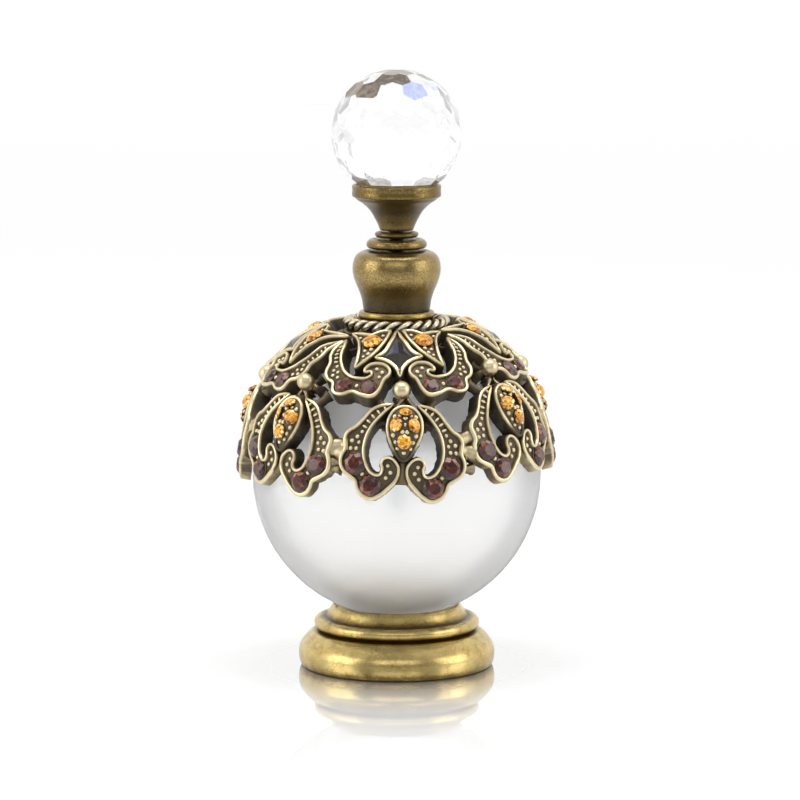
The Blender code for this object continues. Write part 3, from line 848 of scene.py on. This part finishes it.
# The side castings' tails and leaves reach further, to the front and back castings
LEAF_TIP = 8
SIDE_SCROLL_TIP, SIDE_LEAF_TIP = (11.8, 14.9, 1), (10.5, 16.5, 1)
UPPER_GRANULES = (
    (3.3, 2.0, 0.48), (4.3, 2.95, 0.46), (3.95, 1.0, 0.42), (8.35, -0.2, 0.48), (12.2, 3.0, 0.44),
    (13.2, 3.9, 0.46), (12.1, 4.3, 0.42), (12.95, 5.1, 0.44), (12.2, 5.9, 0.42),
)
UPPER_RUNGS = ((12.4, 7.1, 5.0), (12.3, 8.2, 0.0), (12.2, 9.3, -8.0), (11.8, 10.4, -16.0),
               (11.3, 11.4, -26.0))
LEAF_GRANULES = ((2.75, 12.4, 0.44), (7.35, 12.9, 0.44), (3.1, 10.9, 0.32), (5.2, 8.35, 0.50),
                 (6.5, 8.25, 0.44), (5.85, 7.25, 0.46), (6.85, 6.75, 0.38), (6.85, 5.75, 0.34),
                 (6.95, 11.5, 0.30))
UPPER_BROWNS = ((6.05, -1.0, 1.62), (10.8, 0.55, 1.72))
# Beads of each upper casting, from the front one round: place, and whether it stands on a casting
BEADS = (((0.2, -1.9, True),),
         ((0.2, -1.9, True), (-15.7, 4.6, True), (17.6, 1.1, False)),
         ((0.2, -1.9, False),),
         ((0.2, -1.9, True), (-17.6, 0.4, False), (17.0, 4.3, True)))
# Webs of the right half: ends, width, height and wear
UPPER_WEBS = (((0.6, 1.6, 3.4, 1.6), 1.1, 31.4, 0.1), ((1.0, 11.3, 2.6, 11.3), 1.2, 31.6, 0.1),
              ((7.2, 11.6, 11.2, 11.6), 1.2, 31.6, 0.1), ((8.0, 5.0, 10.4, 2.4), 1.2, 31.4, 0.15))
LEAF_AMBER = (5.05, 10.55, 1.85)


def upper_rim(u, v):
    """Height of the upper castings' rims, lower at the rope and at the sides."""
    return 33.15 - 0.0036 * u * u - 0.35 * max(0.0, (v - 9.0) / 6.0)


def upper_field(u, v):
    return upper_rim(u, v) - RIM_RISE


def star_field(u, v):
    return upper_rim(u, v) - 0.9


def upper_relief(beads, reach):
    """A star frame with a bead under it, two leaves, two scrolls, and any beads beside them.

    reach is the height v at which the casting's hanger meets the collar.
    """
    relief = Relief()
    bottom = GLOBE_R + 1.3
    scroll, leaf = list(UPPER_SCROLL), list(LEAF)
    if len(beads) > 1:
        scroll[0], leaf[LEAF_TIP] = SIDE_SCROLL_TIP, SIDE_LEAF_TIP
    for outline in (scroll, mirrored(scroll), leaf, mirrored(leaf)):
        plate(relief, outline, upper_rim, upper_field, bottom, 0.45, 0.35)
    plate(relief, STAR, upper_rim, star_field, bottom + 0.6, 0.3, 0.0, 0.03, 0.40)
    for u, v, footed in beads:
        ball(relief, u, v, BEAD_R, BEAD_LEVEL)
        if footed or (u, v) == beads[0][:2]:
            strut(relief, (u, v + 0.5, u, v + 3.4), 2.0, bottom, 31.2, 0.15)
        if footed:
            strut(relief, (u, v - 0.5, u, v - 3.6), 3.8, bottom - 0.4, 30.9, 0.38)
    for u, v, footed in beads[1:]:
        way = math.copysign(1.0, u)
        strut(relief, (way * 12.2, v * 0.6 + 0.6, u, v), 2.4, bottom, 31.5, 0.3)
        if footed:
            strut(relief, (u, v + 0.4, u + way * 3.6, v + 1.4), 2.6, bottom, 31.7, 0.5)
    strut(relief, (0.0, 11.0, 0.0, reach + 0.4), 3.0, GLOBE_R + 0.5, 32.4, 0.45,
          end_high=GLOBE_R + 2.4)
    strut(relief, (0.0, 2.2, 0.1, -0.6), 1.2, bottom, upper_rim(0.0, 1.0) + 0.05, 0.95)
    for way in (-1.0, 1.0):
        for (u, v, end_u, end_v), width, high, wear_and_light_level in UPPER_WEBS:
            strut(relief, (way * u, v, way * end_u, end_v), width, bottom, high, wear_and_light_level)
        for u, v, radius in UPPER_GRANULES + LEAF_GRANULES:
            granule(relief, way * u, v, radius, upper_field(u, v))
        for u, v, angle in UPPER_RUNGS:
            granule(relief, way * u, v, 0.28, upper_field(u, v) + 0.05, way * angle, 2.1, 1.7)
        for u, v, radius in UPPER_BROWNS:
            seat(relief, way * u, v, radius + 0.1, upper_rim(u, v) - 0.3, upper_field(u, v))
    return relief


def star_gem(name, wrap, number):
    """Smoky stone cut as a low pyramid that fills the star frame."""
    middle, fill = Vector((0.0, 6.0)), 0.80
    girdle, floor, peak = -0.55, -1.2, 0.15     # heights from the rim
    loop = counterclockwise(sampled(STAR, 0.6))
    inner = [middle + (place - middle) * fill for place in loop]
    points = [wrap.place(*p, upper_rim(*p) + level) for level in (girdle, floor) for p in inner]
    count = len(inner)
    points.append(wrap.place(*middle, upper_rim(*middle) + peak))
    faces = [tuple(range(2 * count - 1, count - 1, -1))]
    facet_lights = [0.0]
    for i in range(count):
        j = (i + 1) % count
        side = inner[i].lerp(inner[j], 0.5) - middle
        faces += [(i, j, 2 * count), (count + i, count + j, j, i)]
        # painted light: upper facets drawn lighter, the upper left lightest, as lit from above; lower
        # facets dark brown
        facet_lights += [0.75 if side.y > 0.0 and side.x < 0.0 else 0.45 if side.y > 0.0 else 0.2, 0.1]
    mesh = mesh_from(name, points, faces, "facet_light", facet_lights, "FACE")
    add_piece(name, mesh, SMOKY, replaces=[f"star_stone_{number}"], sharp=14.0)


def upper_castings():
    collar_low, collar = (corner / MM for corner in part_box("neck_collar"))
    collar_tilt = math.atan2(collar.x, collar_low.z - GLOBE_Z)
    for number, beads in enumerate(BEADS, 1):
        wrap = upper_wrap(number)
        reach = (wrap.out.angle(UP) - collar_tilt) * UPPER_WRAP_R
        relief = upper_relief(beads, reach)
        casting = wrap.mesh(f"upper_casting_{number}", relief)
        add_piece(f"upper_casting_{number}", casting, CASTING,
                  replaces=[f"upper_scrolls_{number}"])
        star_gem(f"star_gem_{number}", wrap, number)
        browns, ambers = Stones(number + 100), Stones(number + 150)
        for way in (-1.0, 1.0):
            for u, v, radius in UPPER_BROWNS:
                set_stone(browns, wrap, way * u, v, upper_rim(u, v) - 0.45, radius)
            u, v, radius = LEAF_AMBER
            set_stone(ambers, wrap, way * u, v, upper_rim(u, v) - 0.25, radius)
        browns.piece(f"upper_browns_{number}", BROWN, "brown_stone")
        ambers.piece(f"upper_ambers_{number}", AMBER, "amber_stone")


# ---- rope ring

def rope():
    """Two strands twisted round each other along the ring."""
    twists, strands, strand_r, steps, sides = 13, 2, 0.64, 26, 12
    low, high = (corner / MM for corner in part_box("rope_ring"))
    half = (high.z - low.z) / 2
    ring_r, ring_z = high.x - half, (low.z + high.z) / 2
    offset = half - strand_r
    slope = twists * offset / ring_r
    points, wear, faces = [], [], []
    rows = twists * steps
    for strand in range(strands):
        faces += ring_faces(rows, sides, len(points), closed=True)
        for row in range(rows):
            around = 2 * math.pi * row / rows
            twist = around * twists + 2 * math.pi * strand / strands
            out = Vector((math.cos(around), math.sin(around), 0.0))
            along = Vector((-math.sin(around), math.cos(around), 0.0))
            across = out * math.cos(twist) + UP * math.sin(twist)
            round_it = -out * math.sin(twist) + UP * math.cos(twist)
            sideways = (along + round_it * slope).normalized().cross(across)
            core = out * ring_r + UP * ring_z + across * offset
            for outward, beside in circle(1.0, sides):
                points.append(core + (across * outward + sideways * beside) * strand_r)
                wear.append(clamped(0.35 + 0.9 * outward))
    mesh = mesh_from("twisted_rope", points, faces, "wear", wear)
    add_piece("twisted_rope", mesh, ROPE_BRASS, replaces=["rope_ring"], sharp=60.0)


# ---- turned pieces

def stopper():
    """Urn, two rings, and the dish on its flared stem."""
    low, top = span("cap_urn")
    low -= 0.22
    lathe("urn", below(top, [
        (1.6, 0.0, 1), (5.6, 0.0, 1), (6.4, 0.15), (7.2, 0.5), (7.9, 1.1), (8.3, 1.95), (8.5, 2.9),
        (8.53, 4.0), (8.35, 5.1), (7.95, 6.3), (7.4, 7.6), (6.95, 8.8), (6.65, 10.0)]) + [
        (6.5, low + 0.4), (6.4, low, 1), (5.95, low, 1)] + below(top, [
            (5.95, 2.4, 1), (5.4, 1.3, 1), (1.6, 1.3, 1)]),
        CAP_BRASS, ["cap_urn"], closed=True, wear_and_light_level=0.62,
        # the second dark place paints shade over the urn's lower half
        patina_and_shade_places=[(5.6, top, 0.9), (6.4, low + 1.0, 5.5)])
    low, high = span("large_ring")
    lathe("large_turned_ring", [
        (1.6, high, 1), (4.6, high, 1), (5.1, high - 0.02), (5.65, high - 0.45), (5.85, high - 1.0),
        (5.7, high - 1.55), (5.2, low + 0.1), (4.9, low, 1), (1.6, low, 1),
    ], CAP_BRASS, ["large_ring"], closed=True, wear_and_light_level=0.62,
        patina_and_shade_places=[(4.3, high, 0.8), (5.2, low, 1.5)])
    low, high = span("small_ring")
    lathe("small_turned_ring", [
        (1.6, high, 1), (3.3, high, 1), (3.75, high - 0.05), (4.15, high - 0.3),
        (4.2, high - 0.65), (3.9, low + 0.1), (3.6, low, 1), (1.6, low, 1),
    ], CAP_BRASS, ["small_ring"], closed=True, wear_and_light_level=0.6,
        patina_and_shade_places=[(3.3, high, 0.8), (4.0, low, 1.4)])
    low, high = span("ball_cup")
    rim_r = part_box("ball_cup")[1].x / MM
    lathe("dish_and_stem", below(high, [
        (0.0, 1.2, 1), (6.9, 1.1), (7.7, 0.7), (7.95, 0.05, 1), (8.2, 0.0), (8.5, 0.12),
        (rim_r, 0.4), (rim_r - 0.05, 1.2), (rim_r, 2.0), (8.45, 2.35), (8.1, 2.5, 1), (7.7, 2.9),
        (6.65, 3.6), (5.6, 4.5), (4.8, 5.5), (4.2, 6.6), (3.65, 7.7)]) + [
        (3.35, low + 0.3), (3.2, low, 1), (1.6, low, 1), (1.6, low + 5.1, 1), (0.0, low + 5.1, 1),
    ], CAP_BRASS, ["ball_cup"], wear_and_light_level=0.72,
        # patina at the join under the dish, and the long reach paints shade down the stem under it
        patina_and_shade_places=[(7.7, high - 3.0, 2.0), (5.0, high - 5.0, 10.0)])


def foot():
    """Turned foot: cup, ring and ogee, with dark grooves between."""
    seat_r = GLOBE_R + 0.6
    cup_r, top = 12.3, 12.1
    seat_line = [(r, GLOBE_Z - math.sqrt(seat_r ** 2 - r ** 2)) for r in (0.0, 4.0, 8.0)]
    rim_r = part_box("base_foot")[1].x / MM
    lathe("foot", [(*seat_line[0], 1)] + seat_line[1:] + [
        (11.6, 11.75, 1), (11.95, top), (cup_r, top - 0.1), (12.7, 11.6), (13.2, 10.8),
        (13.6, 10.1), (13.9, 9.7, 1), (14.6, 9.62), (15.4, 9.5), (15.95, 9.1), (16.15, 8.5),
        (16.0, 7.85), (15.5, 7.35), (15.0, 7.1, 1), (15.5, 7.0), (16.3, 6.85), (17.0, 6.45),
        (17.7, 5.75), (18.3, 5.0), (18.75, 4.3), (rim_r - 0.1, 3.5), (rim_r, 2.5),
        (rim_r - 0.08, 1.5), (rim_r - 0.3, 0.7), (rim_r - 0.65, 0.12), (rim_r - 0.9, 0.0, 1),
        (16.9, 0.0, 1), (16.9, 1.8, 1), (15.2, 1.8, 1), (14.2, 5.6, 1), (11.6, 7.0, 1),
        (0.0, 6.6, 1),
    ], FOOT_BRASS, ["base_foot"], "bottle", wear_and_light_level=0.90,
        # the last dark place paints the contact shade along the foot's bottom edge
        patina_and_shade_places=[(13.95, 9.65, 1.5), (15.05, 7.1, 1.6), (12.0, 12.4, 0.6), (18.6, -0.6, 2.4)])
    pad_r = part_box("base_pad")[1].x / MM
    low, high = span("base_pad")
    lathe("felt_pad", [
        (0.0, high, 1), (pad_r - 0.15, high, 1), (pad_r, high - 0.15, 1), (pad_r, low + 0.15, 1),
        (pad_r - 0.15, low, 1), (0.0, low, 1),
    ], FELT, ["base_pad"], "bottle")


def neck():
    """Brass flange round the neck, with its bright top edge."""
    low, top = span("neck_collar")
    top += 0.2
    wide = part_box("neck_collar")[1].x / MM
    lathe("flange", below(top, [
        (5.4, 0.0, 1), (6.7, 0.0), (7.15, 0.15), (7.3, 0.6), (7.28, 1.1), (7.05, 1.5),
        (6.7, 1.7, 1)]) + [
        (6.7, low + 0.8, 1), (wide - 0.2, low + 0.7),
        (wide, low + 0.5), (wide, low + 0.2), (wide - 0.2, low), (5.4, low + 0.4, 1),
    ], FOOT_BRASS, ["neck_collar"], "bottle", closed=True, wear_and_light_level=0.62,
        # the second dark place darkens the flange towards its bottom edge
        patina_and_shade_places=[(6.7, top - 1.8, 0.9), (wide, low, 5.0)])


def glass():
    """Frosted globe, hollow, with a threaded neck."""
    wall, bore, neck_r, thread_r = 2.8, 3.0, 4.4, 4.95
    inner_r = GLOBE_R - wall
    inner = arc(inner_r, GLOBE_Z, math.degrees(math.acos(bore / inner_r)), 40)[::-1]
    outer = arc(GLOBE_R, GLOBE_Z, math.degrees(math.acos((neck_r + 0.9) / GLOBE_R)), 60)
    finish = [(bore, MOUTH_Z - 0.3), (bore + 0.3, MOUTH_Z), (neck_r - 0.3, MOUTH_Z),
              (neck_r, MOUTH_Z - 0.3)]
    for top in (MOUTH_Z - 1.0, MOUTH_Z - 2.8, MOUTH_Z - 4.6):
        finish += [(neck_r, top), (thread_r - 0.08, top - 0.4), (thread_r - 0.08, top - 0.6),
                   (neck_r, top - 1.0)]
    finish.append((neck_r, GLOBE_Z + math.sqrt(GLOBE_R ** 2 - neck_r ** 2) + 0.9))
    lathe("frosted_globe", inner + finish + outer, FROSTED, ["glass_bottle"],
          "bottle", spacing=2.0)


def applicator():
    """Rod, its plug and the sealing washer."""
    low, high = span("glass_rod")
    rod_r = 1.2
    tip = arc(1.7, low + 1.7, 50.0, 12)
    lathe("applicator_rod", [(0.0, high, 1), (rod_r, high, 1), (rod_r, low + 6.0),
                             (rod_r, low + 4.6)] + tip,
          ROD_GLASS, ["glass_rod"], "applicator", spacing=0.6, steps=48)
    low, high = span("rod_plug")
    lathe("plug", [
        (0.0, high, 1), (4.6, high, 1), (4.8, high - 0.2, 1), (4.8, low, 1), (1.5, low, 1),
        (1.5, high - 0.4, 1), (0.0, high - 0.4, 1),
    ], PLASTIC, ["rod_plug"], "applicator", steps=48)
    low, high = span("seal_washer")
    lathe("sealing_washer", [
        (1.5, high, 1), (4.6, high, 1), (4.7, high - 0.1, 1), (4.7, low + 0.1, 1),
        (4.6, low, 1), (1.5, low, 1),
    ], FOAM, ["seal_washer"], "applicator", closed=True, steps=48)
    low, high = span("cap_liner")
    lathe("thread_liner", [
        (5.3, high, 1), (5.6, high, 1), (5.6, low, 1), (5.3, low, 1),
    ], PLASTIC, ["cap_liner"], closed=True, steps=64)
    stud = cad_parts["cap_stud"]
    stud.data.materials.clear()
    stud.data.materials.append(CAP_BRASS)


# ---- crystal ball

# Rows of facets: elevation, number, and shift in facets
CRYSTAL_ROWS = ((90.0, 1, 0.0), (75.0, 8, 0.5), (62.0, 12, 0.0), (45.0, 12, 0.5), (27.0, 16, 0.0),
                (8.0, 16, 0.5), (-11.0, 16, 0.0), (-30.0, 16, 0.5), (-49.0, 12, 0.0))
CRYSTAL_TURN = 8.0                  # the rows' turn from the front, in degrees
CRYSTAL_DEPTH = 0.985               # a facet's distance from the centre, in radii
FACET_MATCH = math.radians(6.0)
# Facets painted with reflections and fire: direction round from the front and up, and painted light
# value (0.5 brown to black reflection, 1 blue fire)
CRYSTAL_FLASHES = ((-22.0, 62.0, 0.48), (8.0, 62.0, 0.48), (-37.0, 45.0, 0.45), (-67.0, 45.0, 0.42),
                   (-7.0, 45.0, 0.16), (23.0, 45.0, 0.94), (53.0, 45.0, 0.87), (-37.0, 27.0, 0.10),
                   (-52.0, -49.0, 0.46), (-22.0, -49.0, 0.32), (38.0, -49.0, 0.30),
                   (68.0, -49.0, 0.50))


def direction(around, elevation):
    """Unit vector from angles in degrees: round from the front, and up."""
    around, elevation = math.radians(around), math.radians(elevation)
    return Vector((math.sin(around) * math.cos(elevation), -math.cos(around) * math.cos(elevation),
                   math.sin(elevation)))


def crystal():
    """Clear ball cut in staggered rows of flat facets, flat where it is glued to the dish."""
    low, high = (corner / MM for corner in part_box("crystal_ball"))
    radius = high.x
    centre = Vector((0.0, 0.0, high.z - radius))
    shape = bmesh.new()
    bmesh.ops.create_cube(shape, size=radius * 3 * MM)
    for elevation, count, shift in CRYSTAL_ROWS:
        for k in range(count):
            normal = direction(360.0 * (k + shift) / count + CRYSTAL_TURN, elevation)
            cut(shape, normal * radius * CRYSTAL_DEPTH * MM, normal)
    cut(shape, Vector((0.0, 0.0, low.z - centre.z)) * MM, -UP)
    mesh = bpy.data.meshes.new("crystal")
    bmesh.ops.translate(shape, verts=shape.verts, vec=centre * MM)
    bmesh.ops.recalc_face_normals(shape, faces=shape.faces)
    shape.to_mesh(mesh)
    shape.free()
    facet_lights = mesh.attributes.new("facet_light", "FLOAT", "FACE")
    for i, face in enumerate(mesh.polygons):
        facet_lights.data[i].value = flash(face.normal)
    add_piece("crystal", mesh, CRYSTAL, "cap", ["crystal_ball"], sharp=1.0)


def flash(normal):
    """Painted light of a crystal facet: a brown reflection for some, blue fire for others, clear for
    the rest.
    """
    for around, elevation, facet_light in CRYSTAL_FLASHES:
        if normal.angle(direction(around, elevation)) < FACET_MATCH:
            return facet_light
    return 0.0


def cut(shape, place, normal):
    """Cut a solid flat and close the cut."""
    parts = shape.verts[:] + shape.edges[:] + shape.faces[:]
    made = bmesh.ops.bisect_plane(shape, geom=parts, dist=1e-7, plane_co=place, plane_no=normal,
                                  clear_outer=True)
    edges = [item for item in made["geom_cut"] if isinstance(item, bmesh.types.BMEdge)]
    if edges:
        bmesh.ops.contextual_create(shape, geom=edges)


# ---- studio

CAMERA_DIP = 7.85                   # how far the camera looks down, in degrees
# Soft boxes: name, place, height aimed at, size and power
SOFT_BOXES = (("soft_box_left", (-0.86, -0.32, 0.34), 0.07, (0.62, 0.60), 2.6),
              ("soft_box_right", (0.88, -0.28, 0.34), 0.07, (0.62, 0.60), 2.2),
              ("soft_box_front", (0.0, -1.05, 0.62), 0.07, (1.10, 0.50), 2.0),
              ("soft_box_top", (0.0, -0.05, 0.75), 0.05, (0.60, 0.40), 2.6))


def area_light(name, place, aim_z, size, power):
    data = bpy.data.lights.new(name, "AREA")
    data.shape = "RECTANGLE"
    data.size, data.size_y = size
    data.energy = power
    lamp = linked(name, data)
    lamp.location = place
    aim = Vector((0.0, 0.0, aim_z)) - Vector(place)
    lamp.rotation_euler = aim.to_track_quat("-Z", "Y").to_euler()


def studio():
    """White surround, dimmer towards the viewer, glossy floor, soft boxes, and the camera."""
    scene = bpy.context.scene
    world = bpy.data.worlds.new("studio")
    world.use_nodes = True
    tree = world.node_tree
    background = tree.nodes["Background"]
    ahead = node(tree, "SeparateXYZ", {0: node(tree, "TexCoord").outputs["Generated"]}).outputs["Y"]
    depth = math_node(tree, "MULTIPLY", math_node(tree, "ADD", ahead, 1.0), 0.5)
    tree.links.new(ramp(tree, depth, [(0.18, 0.34), (0.55, 1.0)]), background.inputs["Color"])
    background.inputs["Strength"].default_value = 1.12
    scene.world = world
    scene.view_settings.view_transform = "Standard"
    for soft_box in SOFT_BOXES:
        area_light(*soft_box)

    mat, tree, shader = new_material("look_floor", Roughness=0.03, IOR=1.7)
    cloud = noise_map(tree, 400.0, 2.0)
    paint(tree, shader, "Base Color", cloud, [(0.3, 0.79), (0.7, 0.82)])
    # painted: the floor is more metallic close round the foot, so its reflection fades away from the
    # foot and the floor darkens at the foot as contact shade
    away = node(tree, "VectorMath", {0: coordinates(tree)}, operation="LENGTH").outputs["Value"]
    near = math_node(tree, "MULTIPLY", away, 10.0, clamp=True)
    paint(tree, shader, "Metallic", near, [(0.19, 0.75), (0.34, 0.35), (0.60, 0.0)])
    mesh = bpy.data.meshes.new("floor")
    corners = [(-8.0, -8.0, 0.0), (8.0, -8.0, 0.0), (8.0, 8.0, 0.0), (-8.0, 8.0, 0.0)]
    mesh.from_pydata(corners, [], [(0, 1, 2, 3)])
    mesh.materials.append(mat)
    floor = linked("floor", mesh)

    data = bpy.data.cameras.new("camera")
    data.lens, data.sensor_width = 181.9, 36.0
    data.clip_start, data.clip_end = 0.05, 30.0
    camera = linked("camera", data)
    camera.location = (0.00065, -0.7774, 0.1592)
    camera.rotation_euler = (math.radians(90.0 - CAMERA_DIP), 0.0, 0.0)
    scene.camera = camera


studio()
glass()
foot()
neck()
rope()
lower_castings()
upper_castings()
stopper()
applicator()
crystal()
